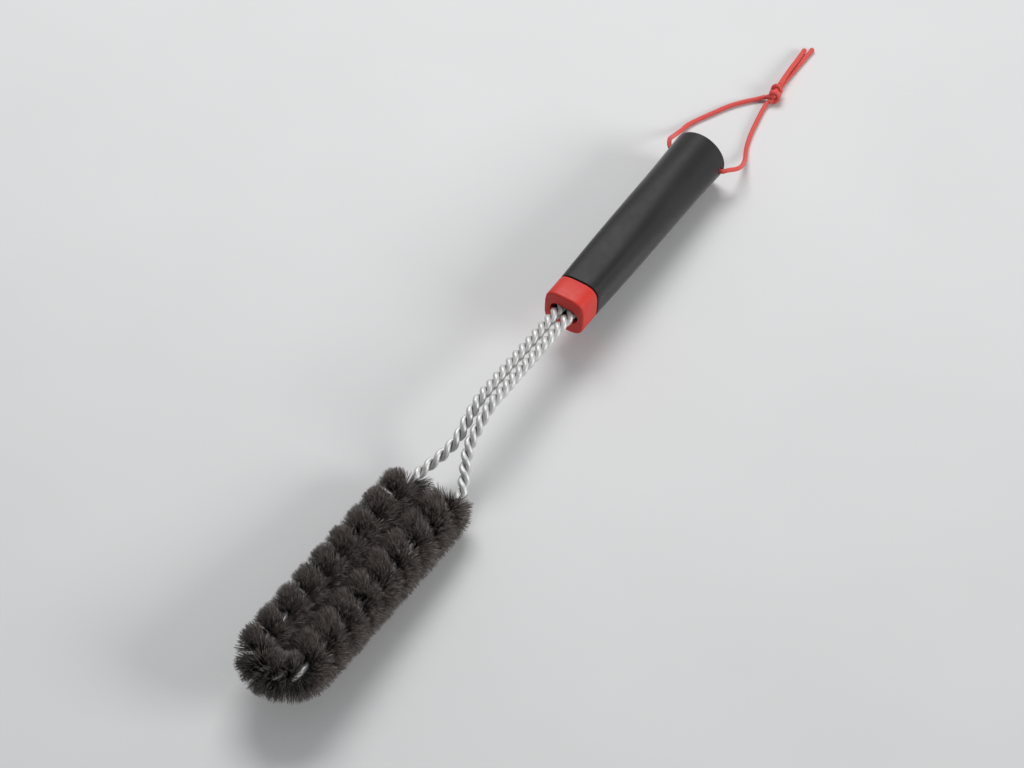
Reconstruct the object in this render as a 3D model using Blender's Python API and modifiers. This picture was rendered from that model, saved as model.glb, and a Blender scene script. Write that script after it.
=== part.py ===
"""Grill cleaning brush: a twisted-wire loop filled with bristles, on a tapered handle.

Metres, +Z up. The brush lies on z = 0 on the heel of its bristles and the butt of its
handle, with the head towards -X. Two empties carry the parts:
  brush_frame   x = 0 at the front of the grip, z = 0 at the underside of the head
  handle_frame  on the handle's own axis, x = 0 at the front of the grip
The hanging cord is placed in world axes from the cross hole near the butt.
"""
from math import atan2, ceil, cos, pi, radians, sin, tan

import bmesh
import bpy
from mathutils import Matrix, Vector

# ---- driving dimensions -------------------------------------------------------------
GAP = 0.0003                 # between pieces that touch

GRIP_LENGTH = 0.1230
GRIP_FRONT_HALF = 0.0118     # half width of the rounded-square front section
GRIP_BUTT_HALF = 0.0150      # radius of the round butt section
GRIP_FRONT_POWER = 3.6       # superellipse power of the front section; 2 is a circle
RIM_ROUND = 0.0012           # rounding of the butt's rim
BORE_RADIUS = 0.0088         # bore that holds the wire anchor

COLLAR_LENGTH = 0.0148
COLLAR_WALL = 0.0024         # front wall of the collar, with the wire slot in it
COLLAR_ROUND = 0.0012
GROOVE_LENGTH = 0.0010       # shadow groove between collar and grip
GROOVE_DEPTH = 0.0009
SLOT_HALF_WIDTH = 0.0082
SLOT_HALF_HEIGHT = 0.0043

HOLE_RADIUS = 0.0020         # cross hole for the cord
HOLE_FROM_BUTT = 0.0048
PLUG_LENGTH = 0.0135
PLUG_RADIUS = 0.0119

HANDLE_RISE = 0.0400         # handle axis above the underside of the head, at the collar
HANDLE_TILT = radians(2.0)   # the handle rises away from the head

WIRE_RADIUS = 0.0014         # one strand, a little under size so that facets clear
HELIX_RADIUS = 0.0017        # strand centre to leg centre
LEG_RADIUS = HELIX_RADIUS + WIRE_RADIUS
LEG_HALF_SPACING = 0.00345   # in the stem, the two twisted legs lie side by side
HEAD_HALF_SPACING = 0.0129   # in the head, half the width of the wire loop
CRANK_START = -0.085         # the stem curves down to the head from here
SPREAD_START = -0.107        # and its legs part from here
HEEL = -0.134                # rear end of the bristles
LOOP_CENTRE = -0.2700        # centre of the half circle at the head's tip
WIRE_END = 0.048             # end of the legs inside the grip
STEM_PITCH = 0.01244         # one full turn of the twist in the stem
TWIST_CHANGES = ((-0.085, -0.120, 0.0141),    # from x, to x, the pitch from there on:
                 (-0.131, -0.1446, 0.0317),   # down the neck, along the head
                 (-0.275, -0.2806, 0.0148))    # and round the bend
TWIST_START = -2.46          # angle of the first strand at its +Y end
HEEL_CHAMFER = 0.0040
BRISTLE_RADIUS = 0.0134
BRISTLE_BORE = 0.0036

CORE_FRONT = -COLLAR_LENGTH + COLLAR_WALL + GAP
CORE_END = 0.064
CORE_RADIUS = BORE_RADIUS - GAP
CHANNEL_HALF = LEG_RADIUS + GAP
BAND_START, BAND_END = 0.038, 0.044
BAND_WALL = 0.0008
SCREW_X = 0.0565
SCREW_HALF_SPACING = 0.0042
SCREW_RADIUS = 0.00125
SCREW_HEAD_RADIUS = 0.0024
SCREW_HEAD_HEIGHT = 0.0016
SCREW_HALF_LENGTH = 0.0060

CORD_RADIUS = 0.0012
KNOT_SIZE = (0.0054, 0.0033, 0.0038)   # half sizes
KNOT_PLACE = (0.0702, -0.0075)         # x and y from the cross hole
KNOT_TURN = radians(15)

HEEL_REST = HEEL - HEEL_CHAMFER   # the head rests on z = 0 here
RING_POINTS = 32


# ---- scene, materials and frames -----------------------------------------------------
def clear_scene():
    for obj in list(bpy.data.objects):
        bpy.data.objects.remove(obj, do_unlink=True)


def new_collection(name):
    collection = bpy.data.collections.new(name)
    bpy.context.scene.collection.children.link(collection)
    return collection


def principled(name, colour, roughness, metallic=0.0):
    material = bpy.data.materials.new(name)
    material.use_nodes = True
    shader = material.node_tree.nodes["Principled BSDF"]
    shader.inputs["Base Color"].default_value = (*colour, 1.0)
    shader.inputs["Roughness"].default_value = roughness
    shader.inputs["Metallic"].default_value = metallic
    return material


def grip_plastic():
    return principled("grip_charcoal", (0.055, 0.052, 0.055), 0.42)


def collar_plastic():
    return principled("collar_red", (0.60, 0.030, 0.022), 0.38)


def core_plastic():
    return principled("core_black_nylon", (0.020, 0.020, 0.020), 0.50)


def wire_steel():
    return principled("galvanised_wire", (0.62, 0.62, 0.60), 0.35, 1.0)


def fitting_steel():
    return principled("plated_steel", (0.50, 0.50, 0.48), 0.30, 1.0)


def bristle_fibre():
    return principled("bristle_black", (0.020, 0.017, 0.016), 0.60)


def cord_fibre():
    return principled("cord_red", (0.62, 0.060, 0.045), 0.70)


def new_empty(name, parent=None, location=(0, 0, 0), pitch=0.0):
    """An empty turned about Y by pitch; a positive pitch lowers its +X end."""
    empty = bpy.data.objects.new(name, None)
    PARTS.objects.link(empty)
    empty.parent = parent
    empty.location = location
    empty.rotation_euler = (0, pitch, 0)
    return empty


def rest_pose():
    """Location and pitch of the brush frame, with heel and butt on z = 0 and x centred."""
    along = GRIP_LENGTH - RIM_ROUND
    butt_x = along * cos(HANDLE_TILT) + GRIP_BUTT_HALF * sin(HANDLE_TILT)
    butt_z = HANDLE_RISE + along * sin(HANDLE_TILT) - GRIP_BUTT_HALF * cos(HANDLE_TILT)
    pitch = atan2(butt_z, butt_x - HEEL_REST)
    tip_centre = LOOP_CENTRE - HEAD_HALF_SPACING
    tip = tip_centre * cos(pitch) + BRISTLE_RADIUS * sin(pitch) - BRISTLE_RADIUS
    slope = pitch - HANDLE_TILT
    end_radius = GRIP_BUTT_HALF - RIM_ROUND
    butt = HANDLE_RISE * sin(pitch) + GRIP_LENGTH * cos(slope) + end_radius * sin(slope)
    return (-(tip + butt) / 2, 0, HEEL_REST * sin(pitch)), pitch


# ---- modelling helpers ---------------------------------------------------------------
def finish(obj, material, parent):
    obj.data.materials.clear()
    obj.data.materials.append(material)
    if obj.type == "MESH":
        obj.data.shade_smooth()
        obj.data.set_sharp_from_angle(angle=radians(35))
    obj.parent = parent
    return obj


def mesh_object(name, bm, collection):
    bmesh.ops.recalc_face_normals(bm, faces=bm.faces)
    mesh = bpy.data.meshes.new(name)
    bm.to_mesh(mesh)
    bm.free()
    obj = bpy.data.objects.new(name, mesh)
    collection.objects.link(obj)
    return obj


def loft(name, rings, collection, closed=False):
    """Skin through rings of points; closed joins the last ring to the first, for a tube."""
    bm = bmesh.new()
    loops = [[bm.verts.new(point) for point in ring] for ring in rings]
    following = loops[1:] + loops[:1] if closed else loops[1:]
    for ring, other in zip(loops, following):
        for i in range(len(ring)):
            j = (i + 1) % len(ring)
            bm.faces.new((ring[i], ring[j], other[j], other[i]))
    if not closed:
        bm.faces.new(reversed(loops[0]))
        bm.faces.new(loops[-1])
    return mesh_object(name, bm, collection)


def section(x, half, power=2.0):
    """A ring across the X axis: a superellipse of the given half size and power."""
    ring = []
    for i in range(RING_POINTS):
        angle = 2 * pi * i / RING_POINTS
        c, s = cos(angle), sin(angle)
        reach = half / (abs(c) ** power + abs(s) ** power) ** (1 / power)
        ring.append((x, reach * c, reach * s))
    return ring


def oval(x, half_spacing, radius):
    """A ring across the X axis: two half circles of one radius, joined by flats."""
    ring = []
    for i in range(RING_POINTS):
        angle = 2 * pi * (i + 0.5) / RING_POINTS
        shift = half_spacing if cos(angle) > 0 else -half_spacing
        ring.append((x, shift + radius * cos(angle), radius * sin(angle)))
    return ring


def cylinder(name, radius, depth, matrix, collection, segments=RING_POINTS):
    """A cylinder along its own Z axis, placed by matrix."""
    bm = bmesh.new()
    bmesh.ops.create_cone(bm, cap_ends=True, segments=segments, radius1=radius,
                          radius2=radius, depth=depth, matrix=matrix)
    return mesh_object(name, bm, collection)


def box(name, low, high, collection):
    bm = bmesh.new()
    size = [b - a for a, b in zip(low, high)]
    centre = [(a + b) / 2 for a, b in zip(low, high)]
    matrix = Matrix.Translation(centre) @ Matrix.Diagonal((*size, 1.0))
    bmesh.ops.create_cube(bm, size=1.0, matrix=matrix)
    return mesh_object(name, bm, collection)


def cut(target, cutter, operation="DIFFERENCE"):
    cutter.parent = target.parent
    cutter.hide_render = True
    cutter.display_type = "WIRE"
    modifier = target.modifiers.new(cutter.name, "BOOLEAN")
    modifier.operation = operation
    modifier.solver = "EXACT"
    modifier.object = cutter


def tube_curve(name, points, radius, material, parent, resolution=2):
    """A round wire or cord through points, as a POLY curve with filled caps."""
    curve = bpy.data.curves.new(name, "CURVE")
    curve.dimensions = "3D"
    curve.bevel_depth = radius
    curve.bevel_resolution = resolution
    curve.use_fill_caps = True
    spline = curve.splines.new("POLY")
    spline.points.add(len(points) - 1)
    for slot, point in zip(spline.points, points):
        slot.co = (*point, 1.0)
    obj = bpy.data.objects.new(name, curve)
    PARTS.objects.link(obj)
    return finish(obj, material, parent)


def ease(value):
    """A smooth step from 0 to 1."""
    value = min(max(value, 0.0), 1.0)
    return value * value * (3 - 2 * value)


# ---- handle --------------------------------------------------------------------------
def grip_section(x):
    """The grip's outer section, from a rounded square at the front to a round butt."""
    along = x / GRIP_LENGTH
    half = GRIP_FRONT_HALF + (GRIP_BUTT_HALF - GRIP_FRONT_HALF) * along
    power = GRIP_FRONT_POWER + (2.0 - GRIP_FRONT_POWER) * ease(along / 0.85)
    return half, power


def handle_grip():
    rim = GRIP_LENGTH - RIM_ROUND
    rings = []
    for i in range(9):
        x = rim * i / 8
        rings.append(section(x, *grip_section(x)))
    for i in (1, 2, 3):
        turn = i * pi / 6
        inset = RIM_ROUND * (1 - cos(turn))
        rings.append(section(rim + RIM_ROUND * sin(turn), GRIP_BUTT_HALF - inset))
    plug_seat = GRIP_LENGTH - PLUG_LENGTH - 2 * GAP
    for x, radius in ((GRIP_LENGTH, PLUG_RADIUS + GAP), (plug_seat, PLUG_RADIUS + GAP),
                      (plug_seat, BORE_RADIUS), (0.0, BORE_RADIUS)):
        rings.append(section(x, radius))
    grip = loft("handle_grip", rings, PARTS, closed=True)
    finish(grip, grip_plastic(), HANDLE)
    cut(grip, cross_hole("grip_hole_cutter"))


def cross_hole(name):
    place = Matrix.Translation((HOLE_X, 0, 0)) @ Matrix.Rotation(pi / 2, 4, "X")
    return cylinder(name, HOLE_RADIUS, 0.05, place, CUTTERS, segments=24)


def butt_plug():
    end = GRIP_LENGTH - GAP
    start = end - PLUG_LENGTH
    bevel = 0.0008
    rings = [section(start, PLUG_RADIUS - bevel), section(start + bevel, PLUG_RADIUS),
             section(end - bevel, PLUG_RADIUS), section(end, PLUG_RADIUS - bevel)]
    plug = loft("butt_plug", rings, PARTS)
    finish(plug, core_plastic(), HANDLE)
    cut(plug, cross_hole("plug_hole_cutter"))


def front_collar():
    half, power = grip_section(0.0)
    front = -COLLAR_LENGTH
    rings = []
    for i in range(4):
        turn = i * pi / 6
        inset = COLLAR_ROUND * (1 - sin(turn))
        x = front + COLLAR_ROUND * (1 - cos(turn))
        rings.append(section(x, half - inset, power))
    groove = -GROOVE_LENGTH
    for x, size in ((groove, half), (groove, half - GROOVE_DEPTH), (-GAP, half - GROOVE_DEPTH)):
        rings.append(section(x, size, power))
    wall = front + COLLAR_WALL
    rings += [section(-GAP, BORE_RADIUS), section(wall, BORE_RADIUS)]
    rings += [oval(wall, SLOT_HALF_WIDTH - SLOT_HALF_HEIGHT, SLOT_HALF_HEIGHT),
              oval(front, SLOT_HALF_WIDTH - SLOT_HALF_HEIGHT, SLOT_HALF_HEIGHT)]
    collar = loft("front_collar", rings, PARTS, closed=True)
    finish(collar, collar_plastic(), HANDLE)


# ---- wire anchor inside the handle ---------------------------------------------------
def core_half(name, side):
    """One half of the split core that clamps the two twisted legs; side is +1 or -1 in z."""
    core = loft(name, [section(CORE_FRONT, CORE_RADIUS), section(CORE_END, CORE_RADIUS)], PARTS)
    finish(core, core_plastic(), HANDLE)
    past = 0.02                  # how far the cutters run past the core
    bottom, top = (-past, GAP / 2) if side > 0 else (-GAP / 2, past)
    cut(core, box(name + "_split_cutter", (CORE_FRONT - past, -past, bottom),
                  (CORE_END + past, past, top), CUTTERS))
    cut(core, leg_channel(name + "_channel_cutter", CORE_FRONT - past, WIRE_END + 0.001,
                          CHANNEL_HALF))
    cut(core, leg_channel(name + "_pocket_cutter", BAND_START - GAP, BAND_END + GAP,
                          CHANNEL_HALF + BAND_WALL + 2 * GAP))
    for y in (-SCREW_HALF_SPACING, SCREW_HALF_SPACING):
        hole = Matrix.Translation((SCREW_X, y, 0))
        cut(core, cylinder(name + "_screw_cutter", SCREW_RADIUS + GAP,
                           2 * (SCREW_HALF_LENGTH + GAP), hole, CUTTERS, segments=16))
        if side > 0:
            seat = SCREW_HALF_LENGTH - SCREW_HEAD_HEIGHT - GAP
            well = Matrix.Translation((SCREW_X, y, seat + past / 2))
            cut(core, cylinder(name + "_head_cutter", SCREW_HEAD_RADIUS + GAP, past,
                               well, CUTTERS, segments=16))


def leg_channel(name, start, end, radius):
    """A cutter along the handle that holds both twisted legs side by side."""
    return loft(name, [oval(x, LEG_HALF_SPACING, radius) for x in (start, end)], CUTTERS)


def crimp_band():
    """A flat steel band squeezed round both legs; its pocket stops the wire pulling out."""
    inner = CHANNEL_HALF
    outer = inner + BAND_WALL
    rings = [oval(BAND_START, LEG_HALF_SPACING, outer), oval(BAND_END, LEG_HALF_SPACING, outer),
             oval(BAND_END, LEG_HALF_SPACING, inner), oval(BAND_START, LEG_HALF_SPACING, inner)]
    finish(loft("crimp_band", rings, PARTS, closed=True), fitting_steel(), HANDLE)


def core_screw(name, y):
    """A pan-head screw that closes the core, along the handle's Z axis."""
    top = SCREW_HALF_LENGTH
    seat = top - SCREW_HEAD_HEIGHT
    outline = ((0, top), (SCREW_HEAD_RADIUS * 0.8, top), (SCREW_HEAD_RADIUS, top - 0.0005),
               (SCREW_HEAD_RADIUS, seat), (SCREW_RADIUS, seat), (SCREW_RADIUS, -top + 0.001),
               (0, -top))
    bm = bmesh.new()
    verts = [bm.verts.new((r, 0, z)) for r, z in outline]
    for a, b in zip(verts, verts[1:]):
        bm.edges.new((a, b))
    mesh = bpy.data.meshes.new(name)
    bm.to_mesh(mesh)
    bm.free()
    screw = bpy.data.objects.new(name, mesh)
    PARTS.objects.link(screw)
    turn = screw.modifiers.new("turn", "SCREW")
    turn.axis = "Z"
    turn.steps = turn.render_steps = 16
    turn.use_merge_vertices = True
    turn.merge_threshold = 0.00001
    screw.location = (SCREW_X, y, 0)
    finish(screw, fitting_steel(), HANDLE)


# ---- twisted wire --------------------------------------------------------------------
def leg_centre(x):
    """Centre of the +Y twisted leg at x in the brush frame."""
    height = HANDLE_RISE + max(x, -COLLAR_LENGTH) * tan(HANDLE_TILT)
    drop = ease((x - CRANK_START) / (HEEL - CRANK_START))
    spread = ease((x - SPREAD_START) / (HEEL - SPREAD_START))
    y = LEG_HALF_SPACING + (HEAD_HALF_SPACING - LEG_HALF_SPACING) * spread
    return Vector((x, y, height + (BRISTLE_RADIUS - height) * drop))


def loop_centreline(step=0.0005):
    """Points along both legs and round the tip, from the +Y wire end to the -Y wire end."""
    count = ceil((WIRE_END - LOOP_CENTRE) / step)
    leg = [leg_centre(WIRE_END + (LOOP_CENTRE - WIRE_END) * i / count) for i in range(count + 1)]
    turns = ceil(pi * HEAD_HALF_SPACING / step)
    bend = []
    for i in range(1, turns):
        angle = pi / 2 + pi * i / turns
        bend.append(Vector((LOOP_CENTRE + HEAD_HALF_SPACING * cos(angle),
                            HEAD_HALF_SPACING * sin(angle), BRISTLE_RADIUS)))
    back = [Vector((p.x, -p.y, p.z)) for p in reversed(leg)]
    return leg + bend + back


def twist_pitch(x):
    """Length of one full turn of the twist at x in the brush frame."""
    pitch = STEM_PITCH
    for start, end, following in TWIST_CHANGES:
        pitch += (following - pitch) * ease((x - start) / (end - start))
    return pitch


def strand_points(phase, per_turn=8):
    """One strand: a left-handed helix round the loop's centreline."""
    centre = loop_centreline()
    angle = phase
    due = angle
    points = []
    for before, after in zip(centre, centre[1:]):
        along = (after - before).normalized()
        across = Vector((-along.y, along.x, 0)).normalized()
        above = along.cross(across)
        if angle <= due:
            points.append(before + HELIX_RADIUS * (cos(angle) * across + sin(angle) * above))
            due -= 2 * pi / per_turn
        angle -= 2 * pi * (after - before).length / twist_pitch(before.x)
    return points


def wire_strands():
    steel = wire_steel()
    for name, phase in (("wire_strand_a", 0.0), ("wire_strand_b", pi)):
        points = strand_points(TWIST_START + phase)
        tube_curve(name, points, WIRE_RADIUS, steel, BRUSH, resolution=1)


# ---- bristles ------------------------------------------------------------------------
def bristle_ring(radius, count=24):
    """(across, up) points round a leg of the head; across is kept off the middle plane."""
    ring = []
    for i in range(count):
        angle = 2 * pi * i / count
        across = HEAD_HALF_SPACING + radius * cos(angle)
        ring.append((max(across, GAP), BRISTLE_RADIUS + radius * sin(angle)))
    return ring


def bristle_leg(name, side, material):
    """The straight sleeve of bristles round one leg; side is +1 or -1 in y."""
    front = LOOP_CENTRE + GAP / 2
    rings = [[(x, side * across, up) for across, up in bristle_ring(radius)]
             for x, radius in ((HEEL, BRISTLE_RADIUS - HEEL_CHAMFER), (HEEL_REST, BRISTLE_RADIUS),
                               (front, BRISTLE_RADIUS), (front, BRISTLE_BORE),
                               (HEEL, BRISTLE_BORE))]
    finish(loft(name, rings, PARTS, closed=True), material, BRUSH)


def bristle_tip(material):
    """The bristles round the bend of the loop: the same section swept half a turn."""
    steps = 10
    angles = [pi / 2 + pi * i / steps for i in range(steps + 1)]
    rings = []
    for radius, sweep in ((BRISTLE_RADIUS, angles), (BRISTLE_BORE, angles[::-1])):
        for angle in sweep:
            rings.append([(LOOP_CENTRE - GAP / 2 + across * cos(angle), across * sin(angle), up)
                          for across, up in bristle_ring(radius)])
    finish(loft("bristles_tip", rings, PARTS, closed=True), material, BRUSH)


# ---- hanging cord --------------------------------------------------------------------
def smooth_route(route, spacing=0.006):
    """Points at an even spacing along a Catmull-Rom curve through the route."""
    route = [Vector(p) for p in route]
    guide = [2 * route[0] - route[1]] + route + [2 * route[-1] - route[-2]]
    fine = []
    for a, b, c, d in zip(guide, guide[1:], guide[2:], guide[3:]):
        for i in range(20):
            t = i / 20
            fine.append(0.5 * (2 * b + (c - a) * t + (2 * a - 5 * b + 4 * c - d) * t ** 2
                               + (3 * b - a - 3 * c + d) * t ** 3))
    fine.append(route[-1])
    total = sum((q - p).length for p, q in zip(fine, fine[1:]))
    count = max(2, round(total / spacing))
    points, done, due = [fine[0]], 0.0, total / count
    for p, q in zip(fine, fine[1:]):
        done += (q - p).length
        if done >= due and len(points) < count:
            points.append(q)
            due += total / count
    return points + [route[-1]]


def cord_routes(hole):
    """Hand-set routes of the cord in world axes, as offsets from the cross hole's centre."""
    rest = CORD_RADIUS + GAP / 2 - hole.z      # centre height of a cord lying on z = 0
    side = GRIP_BUTT_HALF + GAP
    left = ((0, side, 0), (0.0002, side + 0.0010, 0), (0.0024, 0.0180, -0.0002),
            (0.0068, 0.0200, -0.0022), (0.0140, 0.0216, -0.0078), (0.0220, 0.0222, -0.0122),
            (0.0300, 0.0213, rest), (0.0440, 0.0143, rest), (0.0520, 0.0098, rest),
            (0.0589, 0.0045, rest), (0.0634, 0.0004, rest), (0.0668, -0.0035, rest + 0.0010))
    right = ((0, -side, 0), (0.0002, -side - 0.0010, 0), (0.0028, -0.0182, -0.0002),
             (0.0085, -0.0202, -0.0034), (0.0150, -0.0195, -0.0078),
             (0.0224, -0.0170, -0.0118), (0.0318, -0.0126, rest), (0.0410, -0.0098, rest),
             (0.0505, -0.0079, rest), (0.0595, -0.0064, rest), (0.0640, -0.0062, rest + 0.0006))
    tail_a = ((0.0770, -0.0062, rest + 0.0027), (0.0870, -0.0055, rest + 0.0025),
              (0.0970, -0.0051, rest + 0.0021), (0.1075, -0.0043, rest + 0.0008))
    tail_b = ((0.0770, -0.0062, rest), (0.0870, -0.0066, rest), (0.0970, -0.0069, rest),
              (0.1108, -0.0074, rest))
    return {"hang_cord_left": left, "hang_cord_right": right,
            "hang_cord_tail_a": tail_a, "hang_cord_tail_b": tail_b}


def hang_cord():
    """The cord loop, on an empty at the cross hole that it swings about."""
    material = cord_fibre()
    hole = (BRUSH_MATRIX @ HANDLE_MATRIX) @ Vector((HOLE_X, 0, 0))
    pivot = new_empty("hang_loop_pivot", location=hole)
    for name, route in cord_routes(hole).items():
        tube_curve(name, [route[0]] + smooth_route(route[1:]), CORD_RADIUS, material, pivot)
    half_span = GRIP_BUTT_HALF - 0.0001
    inner = [(0, half_span * (i / 3 - 1), 0) for i in range(7)]
    tube_curve("hang_cord_inner", inner, CORD_RADIUS, material, pivot)
    bm = bmesh.new()
    bmesh.ops.create_uvsphere(bm, u_segments=16, v_segments=10, radius=1.0,
                              matrix=Matrix.Diagonal((*KNOT_SIZE, 1.0)))
    knot = mesh_object("hang_cord_knot", bm, PARTS)
    knot.location = (*KNOT_PLACE, KNOT_SIZE[2] + GAP / 2 - hole.z)
    knot.rotation_euler = (0, 0, KNOT_TURN)
    finish(knot, material, pivot)


# ---- build ---------------------------------------------------------------------------
clear_scene()
PARTS = new_collection("grill_cleaning_brush")
CUTTERS = new_collection("cutters")
HOLE_X = GRIP_LENGTH - HOLE_FROM_BUTT

BRUSH_LOCATION, BRUSH_PITCH = rest_pose()
BRUSH = new_empty("brush_frame", None, BRUSH_LOCATION, BRUSH_PITCH)
HANDLE = new_empty("handle_frame", BRUSH, (0, 0, HANDLE_RISE), -HANDLE_TILT)
BRUSH_MATRIX = Matrix.Translation(BRUSH_LOCATION) @ Matrix.Rotation(BRUSH_PITCH, 4, "Y")
HANDLE_MATRIX = Matrix.Translation((0, 0, HANDLE_RISE)) @ Matrix.Rotation(-HANDLE_TILT, 4, "Y")

handle_grip()
butt_plug()
front_collar()
core_half("core_upper", 1)
core_half("core_lower", -1)
crimp_band()
core_screw("core_screw_left", SCREW_HALF_SPACING)
core_screw("core_screw_right", -SCREW_HALF_SPACING)
wire_strands()
BRISTLE = bristle_fibre()
bristle_leg("bristles_left", 1, BRISTLE)
bristle_leg("bristles_right", -1, BRISTLE)
bristle_tip(BRISTLE)
hang_cord()
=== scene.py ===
"""The looks of the grill cleaning brush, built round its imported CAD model.

Metres, +Z up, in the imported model's own frame. The brush lies on z = 0 with its head
towards -X. Most pieces are computed in the brush frame (x = 0 at the front of the grip,
z = 0 at the underside of the head) or on the handle's own axis, and are then turned into
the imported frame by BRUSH_FRAME and HANDLE_FRAME.
"""
from math import atan2, cos, pi, radians, sin, tan

import bpy
import numpy as np
from mathutils import Matrix, Vector


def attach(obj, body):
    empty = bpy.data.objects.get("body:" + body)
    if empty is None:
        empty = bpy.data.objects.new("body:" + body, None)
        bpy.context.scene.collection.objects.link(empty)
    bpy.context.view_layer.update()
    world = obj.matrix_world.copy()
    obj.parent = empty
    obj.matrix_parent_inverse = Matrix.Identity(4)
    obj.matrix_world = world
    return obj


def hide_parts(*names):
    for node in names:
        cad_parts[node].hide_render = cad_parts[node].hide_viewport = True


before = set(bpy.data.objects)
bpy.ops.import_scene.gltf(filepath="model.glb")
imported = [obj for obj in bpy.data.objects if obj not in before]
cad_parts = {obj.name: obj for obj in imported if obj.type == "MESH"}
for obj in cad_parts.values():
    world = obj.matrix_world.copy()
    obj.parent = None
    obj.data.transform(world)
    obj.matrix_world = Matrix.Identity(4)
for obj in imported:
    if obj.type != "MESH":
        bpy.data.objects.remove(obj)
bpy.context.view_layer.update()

# ---- dimensions shared with the CAD model --------------------------------------------
GAP = 0.0003
GRIP_LENGTH = 0.1230
GRIP_FRONT_HALF = 0.0118
GRIP_BUTT_HALF = 0.0150
GRIP_FRONT_POWER = 3.6
RIM_ROUND = 0.0012
BORE_RADIUS = 0.0088
COLLAR_LENGTH = 0.0148
COLLAR_WALL = 0.0024
COLLAR_ROUND = 0.0012
GROOVE_LENGTH = 0.0010
GROOVE_DEPTH = 0.0009
SLOT_HALF_WIDTH = 0.0082
SLOT_HALF_HEIGHT = 0.0043
HOLE_RADIUS = 0.0020
HOLE_FROM_BUTT = 0.0048
PLUG_LENGTH = 0.0135
PLUG_RADIUS = 0.0119
HANDLE_RISE = 0.0400
HANDLE_TILT = radians(2.0)
LEG_HALF_SPACING = 0.00345
HEAD_HALF_SPACING = 0.0129
CRANK_START = -0.085
SPREAD_START = -0.107
HEEL = -0.134
LOOP_CENTRE = -0.2700
WIRE_END = 0.048
HEEL_CHAMFER = 0.0040
BRISTLE_RADIUS = 0.0134
STEM_PITCH = 0.01244
TWIST_CHANGES = ((-0.085, -0.120, 0.0141), (-0.131, -0.1446, 0.0317),
                 (-0.275, -0.2806, 0.0148))   # from x, to x, the pitch from there on
TWIST_START = -2.46
CORD_RADIUS = 0.0012
KNOT_SIZE = (0.0054, 0.0033, 0.0038)
KNOT_PLACE = (0.0702, -0.0075)
KNOT_TURN = radians(15)

# ---- dimensions of the looks ---------------------------------------------------------
SHARP_EDGE = radians(35)     # turned parts show an edge where their faces meet at more

STRAND_RADIUS = 0.0016
TWIST_RADIUS = 0.0016
STRAND_SIDES = 20
STRAND_STEP = 0.0004

HAIR_RADIUS = 0.00013
FLIGHT_SPREAD = radians(65)  # how far the hairs fan out to each side of a flight
TUFT_COUNT = 10000
HAIRS_PER_TUFT = 6
HAIR_PIECES = 7
HAIR_SEED = 11
HAIR_START = -0.1405         # the hairs nearest the handle are rooted here
TUFT_LEAN = radians(12)      # scatter of the lean along the wire, by tuft and by hair
HAIR_LEAN = radians(4)
HAIR_TURN = radians(5)       # scatter of the direction round the wire
END_LEAN = radians(32)       # near the run's ends, hairs lean out over the bare wire,
END_LEAN_REACH = 0.014       # unless they point upward
END_SHORTER = 0.16           # the hairs at the very ends are shorter by this share
END_SHORTER_REACH = 0.006
INWARD_LIFT = 0.0030         # hairs between the legs curl up or down by up to this

# Each pair is the share on the legs, and what is added to it in the bend.
PARTING = (0.20, 0.38)       # how far upward hairs are turned aside from the strand
NOTCH = (0.22, 0.26)         # how much shorter the upward hairs next to the strand are
INWARD = (0.16, -0.34)       # how much longer the hairs that point inward are

BRAID_SIDES = 48
BRAID_STEP = 0.00018
BRAID_YARNS = 6
BRAID_LAY = 0.0075
BRAID_RELIEF = 0.00011
KNOT_TURNS = ((-0.0025, 0.0009, 3.6), (0.0001, -0.0012, 0.4),
              (0.0026, 0.0009, 2.2))     # place along the knot, lean, angle of its end

CAMERA_PLACE = (-1.4935, -0.9527, 2.3095)
CAMERA_AIM = (0.0228, 0.0002, 0.0200)
CAMERA_LENS = 200.55
SENSOR_WIDTH = 36.0


# ---- frames --------------------------------------------------------------------------
def rest_frame():
    """The brush frame: heel of the bristles and butt of the handle on z = 0, x centred."""
    along = GRIP_LENGTH - RIM_ROUND
    heel = HEEL - HEEL_CHAMFER
    butt_x = along * cos(HANDLE_TILT) + GRIP_BUTT_HALF * sin(HANDLE_TILT)
    butt_z = HANDLE_RISE + along * sin(HANDLE_TILT) - GRIP_BUTT_HALF * cos(HANDLE_TILT)
    pitch = atan2(butt_z, butt_x - heel)
    tip_centre = LOOP_CENTRE - HEAD_HALF_SPACING
    tip = tip_centre * cos(pitch) + BRISTLE_RADIUS * sin(pitch) - BRISTLE_RADIUS
    slope = pitch - HANDLE_TILT
    end_radius = GRIP_BUTT_HALF - RIM_ROUND
    butt = HANDLE_RISE * sin(pitch) + GRIP_LENGTH * cos(slope) + end_radius * sin(slope)
    place = Matrix.Translation((-(tip + butt) / 2, 0, heel * sin(pitch)))
    return place @ Matrix.Rotation(pitch, 4, "Y")


BRUSH_FRAME = rest_frame()
HANDLE_FRAME = (BRUSH_FRAME @ Matrix.Translation((0, 0, HANDLE_RISE))
                @ Matrix.Rotation(-HANDLE_TILT, 4, "Y"))
HOLE = HANDLE_FRAME @ Vector((GRIP_LENGTH - HOLE_FROM_BUTT, 0, 0))


def placed(points, matrix):
    """Points, as an array of any shape ending in 3, turned by a matrix."""
    turn = np.array(matrix.to_3x3())
    return points @ turn.T + np.array(matrix.translation)


def ease(value):
    """A smooth step from 0 to 1."""
    value = np.clip(value, 0.0, 1.0)
    return value * value * (3 - 2 * value)


def unit(vectors):
    return vectors / np.linalg.norm(vectors, axis=-1, keepdims=True)


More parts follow.
